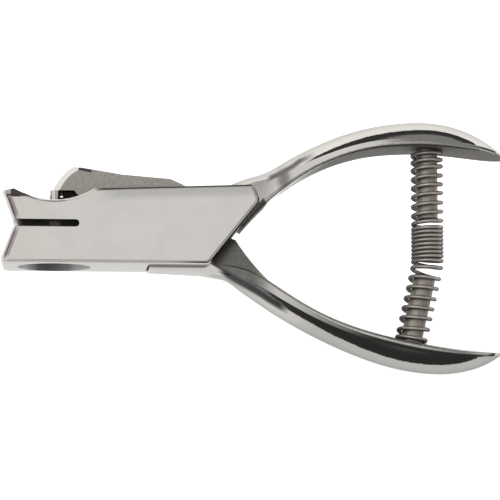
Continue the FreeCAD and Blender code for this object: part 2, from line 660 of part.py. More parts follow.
disc(die, "die_flange", d.die_bore_diameter * 0.5, d.die_flange_height, (-d.punch_reach, die_foot, middle))
disc(die, "die_neck", d.die_neck_diameter * 0.5, d.die_neck_height, (-d.punch_reach, die_shoulder, middle))
sketch = new_sketch(die, "die_hole_end", "XZ_Plane", (0, 0, -die_foot + d.overrun))
obround(sketch, -d.punch_reach, middle, d.slot_length + 2 * d.guide_clearance,
        d.slot_width + 2 * d.guide_clearance)
pocket(die, "die_hole", sketch, d.die_neck_height + d.die_flange_height + 2 * d.overrun)
sketch = new_sketch(die, "die_relief_end", "XZ_Plane", (0, 0, -die_foot + d.overrun))
obround(sketch, -d.punch_reach, middle, d.slot_length + 2 * d.die_relief, d.slot_width + 2 * d.die_relief)
pocket(die, "die_relief_hole", sketch, d.die_neck_height + d.die_flange_height - d.die_land + d.overrun)
bore(die, "die_dowel_hole", d.dowel_diameter * 0.5, d.dowel_length, (dowel_reach, dowel_foot, middle))

dowel = new_body("die_dowel")
disc(dowel, "dowel_bar", d.dowel_diameter * 0.5, d.dowel_length, (dowel_reach, dowel_foot, middle))


# Posts that hold the spring, pressed into the handles
def make_post(name, foot, lean, side):
    body = new_body(name)
    turn = lean if side < 0 else lean + 180
    across = -math.sin(math.radians(turn))
    up = math.cos(math.radians(turn))
    shank = d.post_seat_depth + d.post_shank_length
    shank_foot = (foot[0] - across * shank, foot[1] - up * shank, middle)
    seat = (foot[0] - across * d.post_seat_depth, foot[1] - up * d.post_seat_depth, middle)
    free_end = Vector((foot[0] + across * d.post_length).value, (foot[1] + up * d.post_length).value,
                      middle.value)
    disc(body, f"{name}_shank", d.post_shank_diameter * 0.5, d.post_shank_length, shank_foot, turn)
    disc(body, f"{name}_bar", d.post_diameter * 0.5, d.post_seat_depth + d.post_length, seat, turn)
    rim = d.post_diameter.value * 0.5 + 1e-3
    dress(body, f"{name}_end", "Fillet", "Radius", d.post_end_radius,
          lambda point: (point - free_end).Length < rim)
    return body


upper_post = make_post("upper_spring_post", upper_foot, 0, 1)
lower_post = make_post("lower_spring_post", lower_foot, lower_lean, -1)

# Return spring, one wire wound round both posts
radius = (d.coil_diameter.value - d.wire_diameter.value) * 0.5
wire = d.wire_diameter.value * 0.5
mid = middle.value
lean = math.radians(lower_lean)
upper_seat = Vector(upper_foot[0].value, upper_foot[1].value - d.spring_seat_gap.value, mid)
down = Vector(0, -1, 0)
rise = Vector(-math.sin(lean), math.cos(lean), 0)
lower_seat = Vector(lower_foot[0].value, lower_foot[1].value, mid) + rise * d.spring_seat_gap.value

# The spring's axis: straight down, one arc, and straight to the lower handle
corner = lower_seat + rise * ((upper_seat.x - lower_seat.x) / rise.x)
bend_start = corner - down * d.spring_bend.value
bend_end = corner - rise * d.spring_bend.value
bend_radius = d.spring_bend.value / math.tan(abs(lean) * 0.5)
bend_centre = bend_start + Vector(-bend_radius, 0, 0)
bend_length = bend_radius * abs(lean)
first_length = (bend_start - upper_seat).Length
axis_length = first_length + bend_length + (bend_end - lower_seat).Length


def axis_at(length):
    """Point on the spring's axis and the direction there."""
    if length <= first_length:
        return upper_seat + down * length, down
    if length < first_length + bend_length:
        angle = (length - first_length) / bend_radius
        spoke = Vector(math.cos(angle), -math.sin(angle), 0)
        return bend_centre + spoke * bend_radius, Vector(-math.sin(angle), -math.cos(angle), 0)
    return bend_end - rise * (length - first_length - bend_length), rise * -1


# Lengths of the wound parts, each with a whole number of half turns
STUB_SHARE = 2.9
TURN_IN_SHARE = 1.5
OPEN_SHARE = 0.92
LOOSE_SHARE = 2.1
LOOSE_TURNS = 2
stub = d.wire_diameter.value * STUB_SHARE
upper_length = d.post_length.value * OPEN_SHARE
loose_length = LOOSE_TURNS * LOOSE_SHARE * d.close_pitch.value
lower_length = axis_length - 2 * stub - upper_length - d.close_length.value - loose_length
spans = [(upper_length, d.upper_pitch.value), (d.close_length.value, d.close_pitch.value),
         (loose_length, LOOSE_SHARE * d.close_pitch.value), (lower_length, d.lower_pitch.value)]
stations = [stub]
for length, pitch in spans:
    halves = max(1, round(2 * length / pitch))
    stations += [stations[-1] + length / halves * (step + 1) for step in range(halves)]


def coil_point(turns):
    """Point of the wire after a number of half turns, which may be a fraction."""
    index = min(max(int(turns), 0), len(stations) - 2)
    length = stations[index] + (stations[index + 1] - stations[index]) * (turns - index)
    place, way = axis_at(length)
    inward = Vector(0, 0, 1)
    sideways = way.cross(inward)
    angle = turns * math.pi
    return place + (sideways * math.cos(angle) + inward * math.sin(angle)) * radius


knots = []
for turns in range(len(stations)):
    step = 0.01
    tangent = coil_point(turns + step) - coil_point(turns - step)
    knots.append((coil_point(turns), tangent.normalize()))
count = len(knots)


def wire_end(knot, seat, outward, tangent):
    """The straight end of the wire, square to its seat, and the knot where the wire turns into it."""
    point = knot[0]
    run = tangent - outward * tangent.dot(outward)
    point = point + run.normalize() * d.wire_diameter.value * TURN_IN_SHARE
    face = point + outward * (seat - point).dot(outward)
    return face, face - outward * d.wire_diameter.value


top_face, top_turn = wire_end(knots[0], upper_seat, down * -1, knots[0][1] * -1)
low_face, low_turn = wire_end(knots[-1], lower_seat, rise * -1, knots[-1][1])
knots = [(top_turn, down)] + knots + [(low_turn, rise * -1)]


def biarc(start, end):
    """Two arcs between two knots, each knot a point and a direction."""
    gap = end[0] - start[0]
    both = start[1] + end[1]
    bend = 2 * (1 - start[1].dot(end[1]))
    reach = (-gap.dot(both) + math.sqrt(gap.dot(both) ** 2 + bend * gap.dot(gap))) / bend
    join = (start[0] + start[1] * reach + end[0] - end[1] * reach) * 0.5
    way = (end[0] - end[1] * reach - start[0] - start[1] * reach).normalize()
    arcs = []
    for first, last, tangent in ((start[0], join, start[1]), (join, end[0], way)):
        chord = (last - first) * 0.5
        cosine_of = chord.normalize().dot(tangent)
        chord = (last - first) * 0.5
        hub_point = first + tangent * (chord.Length / cosine_of)
        halfway = (first + last) * 0.5
        arcs.append(Part.Arc(first, halfway + (hub_point - halfway) * (cosine_of / (1 + cosine_of)), last))
    return arcs


pieces = [Part.LineSegment(top_face, top_turn)]
for start, end in zip(knots, knots[1:]):
    pieces += biarc(start, end)
pieces.append(Part.LineSegment(low_turn, low_face))
edges = [piece.toShape() for piece in pieces]
tightest = min(edge.Curve.Radius for edge in edges if edge.Curve.TypeId == "Part::GeomCircle")
path = Part.Wire(edges)
section = Part.Wire(Part.makeCircle(wire, top_face, down))
sweep = Part.BRepOffsetAPI.MakePipeShell(path)
sweep.add(section)
sweep.build()
sweep.makeSolid()
spring = doc.addObject("Part::Feature", "return_spring")
spring.Label = "return_spring"
spring.Shape = sweep.shape()
share = spring.Shape.Volume / (math.pi * wire * wire * path.Length)
print(f"return_spring: {(count - 1) / 2:.1f} turns, tightest bend {tightest:.2f} mm, "
      f"volume over section times length {share:.4f}")

# Least gap of the wire to itself, on points along it
GAP_STEP = 0.15
points = []
for edge in edges:
    steps = max(2, int(edge.Length / GAP_STEP))
    reach = edge.LastParameter - edge.FirstParameter
    points += [edge.valueAt(edge.FirstParameter + reach * step / steps) for step in range(steps)]
apart = int(radius * math.pi / GAP_STEP)
least = min((first - second).Length for index, first in enumerate(points)
            for second in points[index + apart:index + apart * 4])
print(f"return_spring: least gap to itself {least - 2 * wire:.3f} mm")

# Every object and shape is sound before it is written
nodes = [head, lever, pin, punch, die, dowel, upper_post, lower_post, spring]
doc.recompute()
for item in doc.Objects:
    if "Invalid" in item.State or "Error" in item.State:
        raise ValueError(f"{item.Name} failed: {item.State}")
os.makedirs("parts", exist_ok=True)
for item in nodes:
    shape = item.Shape
    if shape.isNull() or not shape.isValid() or len(shape.Solids) != 1:
        raise ValueError(f"{item.Label} is not one sound solid")
    shape.exportStep(f"parts/{item.Label}.step")
    print(item.Label, round(shape.Volume, 1))
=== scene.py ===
import math

import bpy
from mathutils import Matrix, Vector


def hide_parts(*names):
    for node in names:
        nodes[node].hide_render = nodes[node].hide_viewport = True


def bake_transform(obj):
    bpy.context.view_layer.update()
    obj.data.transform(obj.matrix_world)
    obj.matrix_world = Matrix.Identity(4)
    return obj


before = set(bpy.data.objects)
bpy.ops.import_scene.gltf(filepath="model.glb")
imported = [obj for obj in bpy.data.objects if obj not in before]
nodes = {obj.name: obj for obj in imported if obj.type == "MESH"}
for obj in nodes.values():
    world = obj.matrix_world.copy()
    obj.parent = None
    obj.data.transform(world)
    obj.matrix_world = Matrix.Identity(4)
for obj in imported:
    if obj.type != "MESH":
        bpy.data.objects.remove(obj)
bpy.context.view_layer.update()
scene = bpy.context.scene

# Places and lengths are in millimetres unless a comment says otherwise, and in the frame that all
# the pieces share: X runs from the jaws to the handles' ends, Y from the lower to the upper handle
# and Z up through the tool's thickness as it lies. MM turns them into metres.
MM = 0.001


# Camera: above the tool as it lies, a little to the left and towards the lower handle
CAMERA_PLACE = Vector((-34.78, -81.53, 655.86)) * MM
CAMERA_TARGET = Vector((21.51, -7.95, 12.5)) * MM
CAMERA_LENS = 161.4
SENSOR_WIDTH = 36.0
CLIP_START = 10.0


def add_camera():
    data = bpy.data.cameras.new("photo_camera")
    data.lens = CAMERA_LENS
    data.sensor_width = SENSOR_WIDTH
    data.clip_start = CLIP_START * MM
    camera = bpy.data.objects.new("photo_camera", data)
    scene.collection.objects.link(camera)
    back = (CAMERA_PLACE - CAMERA_TARGET).normalized()
    right = Vector((0, 1, 0)).cross(back).normalized()
    up = back.cross(right)
    turn = Matrix((right, up, back)).transposed().to_4x4()
    camera.matrix_world = Matrix.Translation(CAMERA_PLACE) @ turn
    scene.camera = camera


# Helpers for node materials
def new_material(name):
    material = bpy.data.materials.new(name)
    material.use_nodes = True
    tree = material.node_tree
    tree.nodes.clear()
    output = tree.nodes.new("ShaderNodeOutputMaterial")
    shader = tree.nodes.new("ShaderNodeBsdfPrincipled")
    tree.links.new(shader.outputs["BSDF"], output.inputs["Surface"])
    return material, tree, shader


def grey(value):
    return (value, value, value)


def noise(tree, scale, detail):
    """Noise in the object's own metres."""
    place = tree.nodes.new("ShaderNodeTexCoord")
    texture = tree.nodes.new("ShaderNodeTexNoise")
    texture.inputs["Scale"].default_value = scale
    texture.inputs["Detail"].default_value = detail
    tree.links.new(place.outputs["Object"], texture.inputs["Vector"])
    return texture.outputs["Fac"]


# Where a new stop stands until it gets its own position
RAMP_MIDDLE = 0.5


def ramp(tree, factor, stops):
    """A colour ramp of (position, colour) stops."""
    node = tree.nodes.new("ShaderNodeValToRGB")
    elements = node.color_ramp.elements
    while len(elements) < len(stops):
        elements.new(RAMP_MIDDLE)
    for element, (position, colour) in zip(elements, stops):
        element.position = position
        element.color = (*colour, 1)
    tree.links.new(factor, node.inputs["Fac"])
    return node.outputs["Color"]


# The lowest and the highest value that the noise often reaches
NOISE_LOW = 0.3
NOISE_HIGH = 0.7


def mottled(tree, grain, first, second):
    """From the first colour to the second as the noise called grain rises."""
    return ramp(tree, grain, [(NOISE_LOW, first), (NOISE_HIGH, second)])


def bump(tree, shader, height, distance):
    node = tree.nodes.new("ShaderNodeBump")
    node.inputs["Distance"].default_value = distance * MM
    tree.links.new(height, node.inputs["Height"])
    tree.links.new(node.outputs["Normal"], shader.inputs["Normal"])


def mix(tree, factor, first, second, colour=True):
    """first where factor is 0 and second where it is 1."""
    node = tree.nodes.new("ShaderNodeMix")
    node.data_type = "RGBA" if colour else "FLOAT"
    inputs = [socket for socket in node.inputs if socket.enabled]
    tree.links.new(factor, inputs[0])
    for socket, value in zip(inputs[1:], (first, second)):
        if isinstance(value, bpy.types.NodeSocket):
            tree.links.new(value, socket)
        else:
            socket.default_value = (*value, 1)
    return [socket for socket in node.outputs if socket.enabled][0]


def maths(tree, kind, *values):
    node = tree.nodes.new("ShaderNodeMath")
    node.operation = kind
    for socket, value in zip(node.inputs, values):
        if isinstance(value, bpy.types.NodeSocket):
            tree.links.new(value, socket)
        else:
            socket.default_value = value
    return node.outputs[0]


def all_of(tree, *masks):
    result = masks[0]
    for mask in masks[1:]:
        result = maths(tree, "MULTIPLY", result, mask)
    return result


def any_of(tree, *masks):
    result = masks[0]
    for mask in masks[1:]:
        result = maths(tree, "MAXIMUM", result, mask)
    return result


def step(tree, value, zero, one, smooth=True):
    """0 up to the value called zero and 1 from the value called one, whichever is the larger."""
    node = tree.nodes.new("ShaderNodeMapRange")
    node.clamp = True
    node.interpolation_type = "SMOOTHSTEP" if smooth else "LINEAR"
    tree.links.new(value, node.inputs["Value"])
    node.inputs["From Min"].default_value = zero
    node.inputs["From Max"].default_value = one
    return node.outputs["Result"]


def parts(tree, kind):
    """X, Y and Z of a place or of the surface's direction."""
    place = tree.nodes.new("ShaderNodeTexCoord")
    split = tree.nodes.new("ShaderNodeSeparateXYZ")
    tree.links.new(place.outputs[kind], split.inputs["Vector"])
    return split.outputs["X"], split.outputs["Y"], split.outputs["Z"]


def from_line(tree, first, last):
    """How far a place is to the left of the way from first to last and how far along, in metres."""
    x, y, _ = parts(tree, "Object")
    way = (Vector(last) - Vector(first)).normalized()
    x = maths(tree, "SUBTRACT", x, first[0] * MM)
    y = maths(tree, "SUBTRACT", y, first[1] * MM)
    left = maths(tree, "ADD", maths(tree, "MULTIPLY", x, -way.y),
                 maths(tree, "MULTIPLY", y, way.x))
    along = maths(tree, "ADD", maths(tree, "MULTIPLY", x, way.x),
                  maths(tree, "MULTIPLY", y, way.y))
    return left, along


def surface_value(tree, name):
    """What a fade is of, and the unit that its ends are given in."""
    if name == "level":
        return maths(tree, "ABSOLUTE", parts(tree, "Normal")[2]), 1
    if name == "up":
        return parts(tree, "Normal")[1], 1
    return parts(tree, "Object")["xyz".index(name)], MM


# Masks. Each of these makes a function that adds a mask's nodes to a material and returns its
# socket. Every fade is a pair: the value where the mask is 0, and the value where it is 1.
def fading(**fades):
    """1 where all the fades are.

    They are of x, y and z, of level, which is 1 on faces that lie flat and 0 on upright ones, and
    of up, which goes from -1 on faces turned towards -Y to 1 on faces turned towards +Y.
    """
    def mask(tree):
        steps = []
        for name, pairs in fades.items():
            value, unit = surface_value(tree, name)
            steps += [step(tree, value, zero * unit, one * unit) for zero, one in pairs]
        return all_of(tree, *steps)
    return mask


def beside(first, last, zero, one):
    """A fade to the left of the way from first to last."""
    return lambda tree: step(tree, from_line(tree, first, last)[0], zero * MM, one * MM)


# How far each piece of a path runs past its ends, and how far it takes to fade out there
PATH_OVERLAP = 0.3


def near_path(path, zero, one):
    """A fade by the distance from a path of points."""
    def mask(tree):
        pieces = []
        for first, last in zip(path, path[1:]):
            left, along = from_line(tree, first, last)
            end = (Vector(last) - Vector(first)).length + PATH_OVERLAP
            pieces.append(all_of(
                tree, step(tree, maths(tree, "ABSOLUTE", left), zero * MM, one * MM),
                step(tree, along, -2 * PATH_OVERLAP * MM, -PATH_OVERLAP * MM),
                step(tree, along, (end + PATH_OVERLAP) * MM, end * MM)))
        return any_of(tree, *pieces)
    return mask


def spot(centre, flatness, zero, one, strength):
    """A soft spot, the longer along Y the smaller its flatness is."""
    def mask(tree):
        x, y, _ = parts(tree, "Object")
        across = maths(tree, "SUBTRACT", x, centre[0] * MM)
        up = maths(tree, "SUBTRACT", y, centre[1] * MM)
        squares = maths(tree, "ADD", maths(tree, "MULTIPLY", across, across),
                        maths(tree, "MULTIPLY", maths(tree, "MULTIPLY", up, up), flatness))
        away = maths(tree, "SQRT", squares)
        return maths(tree, "MULTIPLY", step(tree, away, zero * MM, one * MM), strength)
    return mask


def both(*masks):
    return lambda tree: all_of(tree, *[mask(tree) for mask in masks])


def either(*masks):
    return lambda tree: any_of(tree, *[mask(tree) for mask in masks])


def without(mask):
    return lambda tree: maths(tree, "SUBTRACT", 1.0, mask(tree))


# Where the plate looks different, each place as a mask. First what several of them share:
# where the handles start, how level the cheeks' flat faces are, and their slanting rear edge
HANDLE_START = (25, 29)
CHEEK_LEVEL = (0.9, 0.95)
CHEEK_REAR = ((23.5, 5.03), (8.8, -13.37))

# The handles' inner faces are left satin, and their dark colour is partly painted shade, for the
# shadowed floor that they face
upper_inner_face = fading(up=[(-0.75, -0.93)], x=[HANDLE_START])
lower_inner_face = fading(up=[(0.75, 0.93)], x=[HANDLE_START])

# The cheeks' flat faces are warmer towards the jaws' fronts
cheek_front = fading(level=[CHEEK_LEVEL], x=[(-36, -46)])

# Painted shade darkens the cheeks' flat faces a little along their top edge
cheek_margin_shade = both(fading(level=[CHEEK_LEVEL], x=[(-24, -16), (22.5, 20)]),
                    beside((-24.0, 7.9), (21.5, 9.6), -4.4, -1.6))

# The rounding along the underside and over the hollow behind the upper jaw's tip is rough and
# painted pale: a painted highlight where the polish would reflect dark
pale_edges_painted_light = both(fading(level=[(0.0, 0.02), (0.99, 0.97)]),
                  either(fading(y=[(-12.2, -12.4)], x=[(12, -5)]),
                         fading(y=[(4.0, 4.5)], x=[(-40.5, -39.5), (-22.5, -23.5)])))

# The rounding down both jaws' fronts, but not at the mouth, is a little rougher than the cheeks and
# painted darker and pinkish as a painted reflection
front_edges_reflection = both(fading(level=[(0.56, 0.62), (0.99, 0.93)], x=[(-44.5, -45.0)],
                          y=[(-12.5, -11.0)]),
                   either(fading(y=[(-2.95, -5.15)]), fading(y=[(-1.35, 0.85)])))

# The rounding along the cheeks' top and rear edges, and the slants at the upper jaw's tip, painted
# black as a painted dark reflection
cheek_edges = both(fading(x=[(-25, -21)], y=[(-13.0, -12.0)]),
                   either(fading(z=[(23.8, 23.9)]), fading(z=[(1.2, 1.1)])),
                   without(fading(x=[(21.0, 21.3)], y=[(5.6, 6.0)])))
tip_slants = fading(x=[(-47.7, -47.3), (-39.8, -40.2)], y=[(5.2, 5.6)])
dark_edges_reflection = both(fading(level=[(0.0, 0.05), (0.85, 0.80)]), either(cheek_edges, tip_slants))

# The edge of the upper handle's flank, where it leaves the head, painted dark as a painted
# reflection, and a darker spot of painted shade below it
UPPER_BAND = [(25.57, 11.67), (28.47, 13.01), (30.79, 14.21), (33.12, 15.55), (35.44, 17.34),
              (39.81, 19.3)]
upper_band_reflection = both(near_path(UPPER_BAND, 1.25, 0.25), fading(x=[(41, 35), (25.2, 27.2)]))
upper_spot_shade = spot((30.6, 11.8), 0.35, 3.0, 0.5, 0.75)

# What shows of the upper handle's root under the cheeks' slanting edge, painted dark as painted
# shade in the corner
upper_root_shade = both(beside(*CHEEK_REAR, -0.35, 0.35), fading(y=[(-9, -8)]),
                  beside((25.6, 4.9), (23.8, 6.8), -0.3, 0.3))

# Shade along the underside where the lever comes out of its slot
lever_gap = fading(z=[(4.9, 5.3), (20.1, 19.7)], y=[(-13.3, -13.45)], x=[(-8.6, -8.2)])

# The slot that the lever works in, the die's bore and the throat, painted dark as painted shade
inside_head_shade = fading(z=[(5.99, 6.05), (19.01, 18.95)], y=[(-13.48, -13.44)],
                     x=[(18, 14), (-37.5, -37.3)])
die_bore_shade = fading(x=[(-45.8, -45.7), (-24.2, -24.3)], y=[(-13.48, -13.46), (-8.68, -8.7)],
                  z=[(1.7, 1.8), (23.3, 23.2)])
throat_walls_shade = fading(y=[(-3.25, -3.22), (-1.05, -1.08)], x=[(-27.8, -27.95), (-46.8, -43.8)],
                      z=[(-0.04, 0.0), (25.0, 24.96)])

# The nose's sides are left as forged, with a dark mark at their top
nose_side = fading(level=[(0.97, 0.99)], x=[(2, 1)], y=[(0, 1)])
nose_mark = near_path([(-27.9, 14.25), (-25.0, 13.65)], 0.6, 0.15)

# What hooks into the punch, and the nose's underside over it, painted black as painted shade in the
# recess
claw_shade = both(either(fading(y=[(8.06, 8.02)], z=[(8.3, 8.5), (16.7, 16.5)]),
                   fading(up=[(-0.4, -0.6)], y=[(8.2, 8.1)])),
            fading(x=[(-26.8, -27.0)]))

# The edge of the lower handle's flank, from the lever's belly on, painted dark as a painted
# reflection
LOWER_BAND = [(10.09, -13.8), (12.97, -14.8), (17.0, -17.2), (20.45, -19.2), (23.91, -21.2),
              (26.79, -23.1), (29.67, -24.8), (32.0, -26.2)]
lower_band_reflection = both(near_path(LOWER_BAND, 1.25, 0.35), fading(x=[(11, 14), (33, 29)]))

# The lower handle's root is left as forged, and shines more and more towards the handle; in the
# corner against the cheeks it carries painted shade
web_side = both(fading(level=[(0.30, 0.40)], x=[(7, 11), (30, 21)]),
                beside(LOWER_BAND[1], LOWER_BAND[5], -0.4, 0.4))

# The lower handle's outer side is a little darker: painted shade on the side turned towards -Y
lower_crown_shade = fading(up=[(-0.35, -0.55)], x=[(30, 40)])

# The punch's lower end, painted black as painted shade inside the head
punch_end_shade = fading(y=[(0.5, 0.0)])


# Colours, as pairs that a surface is mottled from
POLISH = ((0.540, 0.524, 0.495), (0.580, 0.562, 0.530))
WARM = ((0.545, 0.512, 0.482), (0.575, 0.542, 0.512))
SHADED = ((0.41, 0.402, 0.385), (0.44, 0.431, 0.413))
PALE = ((0.90, 0.875, 0.83), (0.98, 0.95, 0.90))
BLUSHED_REFLECTION = ((0.28, 0.235, 0.24), (0.34, 0.29, 0.29))
FORGED = ((0.375, 0.358, 0.326), (0.490, 0.465, 0.420))
SATIN_AND_SHADE = ((0.13, 0.125, 0.12), (0.19, 0.183, 0.175))
WEB = ((0.165, 0.161, 0.145), (0.25, 0.244, 0.22))
ROOT_PAINTED_DARK = ((0.10, 0.098, 0.095), (0.15, 0.147, 0.142))
# Painted shade and painted dark reflection
PAINTED_BLACK = ((0.030, 0.028, 0.026), (0.055, 0.051, 0.047))
DEEP = ((0.055, 0.056, 0.060), (0.08, 0.081, 0.085))
WEB_CORNER_SHADE = (0.05, 0.048, 0.043)
# Painted shade round the sides of bare steel
SIDE_SHADE = (0.05, 0.045, 0.04)
PLATE_TINT = (0.62, 0.615, 0.60)

# Noises, as scale and detail
PITS = (1500, 4)
GRIT = (1500, 3)
WEAR = (900, 3)
STAINS = (400, 4)
SMEARS = (260, 4)
CLOUDS = (120, 3)
WAVES = (40, 2)

# Heights of the surface
PLATE_RELIEF = 0.1
STEEL_RELIEF = 0.02
WAVE_SHARE = 0.4

# Roughness of the bright plate, from its clearest to its dullest places
PLATE_ROUGHNESS = (0.06, 0.10)

# The die's bore carries painted reflection and shade, darkest a little in front of its middle:
# greys along it, from front to rear
BORE_FRONT = -46.0
BORE_REAR = -26.0
BORE_REFLECTION_GREYS = [(0.0, 1.0), (0.12, 1.0), (0.2, 0.75), (0.32, 0.24), (0.42, 0.22), (0.6, 0.30),
              (0.75, 0.42), (0.9, 0.95), (1.0, 1.0)]

# The web's painted shade is darkest in the corner against the cheeks, and is clear of that at this
# distance
WEB_SHADE_CLEAR = 4.0
WEB_SHADE_DARKEST = 0.2


def bore_reflection_colour(tree):
    x, _, _ = parts(tree, "Object")
    along = step(tree, x, BORE_FRONT * MM, BORE_REAR * MM, smooth=False)
    return ramp(tree, along, [(place, grey(value)) for place, value in BORE_REFLECTION_GREYS])


def web_colour_and_shade(tree):
    corner = beside(*CHEEK_REAR, WEB_SHADE_CLEAR, WEB_SHADE_DARKEST)(tree)
    return mix(tree, corner, mottled(tree, noise(tree, *PITS), *WEB), WEB_CORNER_SHADE)


def forging(name, layers=()):
    """Bright plated steel.

    Each layer is a mask, a pair of colours or a function for them, a roughness and how pitted it
    is, and lies over the ones before it.
    """
    material, tree, shader = new_material(name)
    shader.inputs["Metallic"].default_value = 1.0
    shader.inputs["Specular Tint"].default_value = (*PLATE_TINT, 1)
    pits = noise(tree, *PITS)
    colour = mottled(tree, noise(tree, *CLOUDS), *POLISH)
    gloss = mottled(tree, noise(tree, *SMEARS), *[grey(value) for value in PLATE_ROUGHNESS])
    height = maths(tree, "MULTIPLY", noise(tree, *WAVES), WAVE_SHARE)
    for make_mask, colours, roughness, pitted in layers:
        mask = make_mask(tree)
        layer = colours(tree) if callable(colours) else mottled(tree, pits, *colours)
        colour = mix(tree, mask, colour, layer)
        gloss = mix(tree, mask, gloss, grey(roughness))
        height = mix(tree, mask, height, maths(tree, "MULTIPLY", pits, pitted), colour=False)
    tree.links.new(colour, shader.inputs["Base Color"])
    tree.links.new(gloss, shader.inputs["Roughness"])
    bump(tree, shader, height, PLATE_RELIEF)
    return material


# Bare steel is painted darker, and made rougher, where it turns away from the flat: painted shade
# round its sides
SIDE_SHADE_LEVEL = (0.90, 0.25)
SIDE_SHADE_ROUGHNESS = 0.7
# How much rougher it is in its most worn places
ROUGHNESS_SPREAD = 0.1


def steel(name, dark, light, roughness, side_shading):
    """Bare dull steel. The last argument says how dark the painted shade gets round its sides."""
    material, tree, shader = new_material(name)
    shader.inputs["Metallic"].default_value = 1.0
    side = maths(tree, "MULTIPLY", fading(level=[SIDE_SHADE_LEVEL])(tree), side_shading)
    tint = mottled(tree, noise(tree, *STAINS), dark, light)
    tint = mix(tree, side, tint, SIDE_SHADE)
    tree.links.new(tint, shader.inputs["Base Color"])
    gloss = mottled(tree, noise(tree, *WEAR), grey(roughness), grey(roughness + ROUGHNESS_SPREAD))
    gloss = mix(tree, side, gloss, grey(SIDE_SHADE_ROUGHNESS))
    tree.links.new(gloss, shader.inputs["Roughness"])
    bump(tree, shader, noise(tree, *GRIT), STEEL_RELIEF)
    return material


# Each layer: mask, colours, roughness, pits
HEAD_LAYERS = [
    (upper_inner_face, SATIN_AND_SHADE, 0.6, 0.5),
    (cheek_front, WARM, 0.10, 0.0),
    (cheek_margin_shade, SHADED, 0.10, 0.0),
    (pale_edges_painted_light, PALE, 0.7, 0.0),
    (front_edges_reflection, BLUSHED_REFLECTION, 0.12, 0.0),
    (upper_spot_shade, ROOT_PAINTED_DARK, 0.3, 0.0),
    (upper_band_reflection, ROOT_PAINTED_DARK, 0.2, 0.0),
    (upper_root_shade, ROOT_PAINTED_DARK, 0.45, 1.0),
    (lever_gap, PAINTED_BLACK, 0.5, 0.0),
    (dark_edges_reflection, PAINTED_BLACK, 0.3, 0.0),
    (inside_head_shade, PAINTED_BLACK, 0.6, 1.0),
    (die_bore_shade, bore_reflection_colour, 0.5, 0.3),
    (throat_walls_shade, PAINTED_BLACK, 0.7, 0.0),
]
LEVER_LAYERS = [
    (lower_inner_face, SATIN_AND_SHADE, 0.6, 0.5),
    (lower_crown_shade, SHADED, 0.09, 0.0),
    (nose_side, FORGED, 0.5, 1.0),
    (nose_mark, DEEP, 0.5, 0.0),
    (web_side, web_colour_and_shade, 0.5, 1.0),
    (lower_band_reflection, DEEP, 0.4, 0.0),
    (claw_shade, PAINTED_BLACK, 0.6, 1.0),
]
PUNCH_LAYERS = [
    (punch_end_shade, PAINTED_BLACK, 0.5, 0.3),
]

# Each bare steel: dark colour, light colour, roughness, how much painted shade its sides get
DULL_STEEL = ((0.34, 0.305, 0.270), (0.44, 0.400, 0.355), 0.42, 0.5)
WIRE_STEEL = ((0.47, 0.436, 0.395), (0.62, 0.573, 0.525), 0.38, 0.85)
GROUND_STEEL = ((0.5, 0.5, 0.49), (0.58, 0.58, 0.57), 0.25, 0.0)


def dress(material, *names):
    for name in names:
        mesh = nodes[name].data
        mesh.materials.clear()
        mesh.materials.append(material)


dress(forging("head_plate", HEAD_LAYERS), "head_and_upper_handle")
dress(forging("lever_plate", LEVER_LAYERS), "lever_and_lower_handle")
dress(forging("pivot_pin_plate"), "pivot_pin")
dress(forging("punch_blade_plate", PUNCH_LAYERS), "punch_blade")
dress(steel("dull_steel", *DULL_STEEL), "upper_spring_post", "lower_spring_post")
dress(steel("ground_steel", *GROUND_STEEL), "die_button", "die_dowel")


# Return spring: one right-handed wire, open over the posts and closely wound between them
WIRE_RADIUS = 0.595
COIL_RADIUS = 4.2
SPRING_TOP = Vector((73.5, 21.8, 12.5))
SPRING_BEND = Vector((73.5, -11.83, 12.5))
SPRING_FOOT = Vector((68.2, -35.0, 12.5))
# Length before and after the bend that is rounded
BEND_HALF = 2.6
# How far down the spring's line each turn stands, counted at its right side
TURN_PLACES = [0.85, 2.65, 4.6, 7.26, 9.86, 12.41, 15.25, 17.91, 20.57, 22.64, 23.84, 25.04,
               26.24, 27.44, 28.64, 29.84, 31.04, 32.24, 34.0, 36.95, 39.92, 43.02, 46.05, 48.97,
               52.15, 55.4, 56.45]
STEPS_PER_TURN = 24
WIRE_SIDES = 12
# The wire's rounded ends: how far they stand out and how narrow they get, in radii
WIRE_END_LENGTH = 0.3
WIRE_END_RADIUS = 0.7


def spring_line(along):
    """Place and direction of the spring's own line at a length from its top."""
    down = (SPRING_BEND - SPRING_TOP).normalized()
    out = (SPRING_FOOT - SPRING_BEND).normalized()
    straight = (SPRING_BEND - SPRING_TOP).length
    if along < straight - BEND_HALF:
        return SPRING_TOP + down * along, down
    if along > straight + BEND_HALF:
        return SPRING_BEND + out * (along - straight), out
    share = (along - straight + BEND_HALF) / (2 * BEND_HALF)
    first = SPRING_BEND - down * BEND_HALF
    last = SPRING_BEND + out * BEND_HALF
    place = (first * (1 - share) ** 2 + SPRING_BEND * 2 * share * (1 - share)
             + last * share ** 2)
    way = (SPRING_BEND - first) * (1 - share) + (last - SPRING_BEND) * share
    return place, way.normalized()


def turn_place(turn):
    """How far down the line the wire stands after so many turns, smooth through TURN_PLACES."""
    last = len(TURN_PLACES) - 1
    index = min(int(turn), last - 1)
    share = turn - index
    slopes = []
    for knot in (index, index + 1):
        before = TURN_PLACES[knot] - TURN_PLACES[max(knot - 1, 0)]
        after = TURN_PLACES[min(knot + 1, last)] - TURN_PLACES[knot]
        slopes.append(0 if before * after <= 0 else 2 * before * after / (before + after))
    square, cube = share ** 2, share ** 3
    return (TURN_PLACES[index] * (2 * cube - 3 * square + 1)
            + TURN_PLACES[index + 1] * (3 * square - 2 * cube)
            + slopes[0] * (cube - 2 * square + share) + slopes[1] * (cube - square))


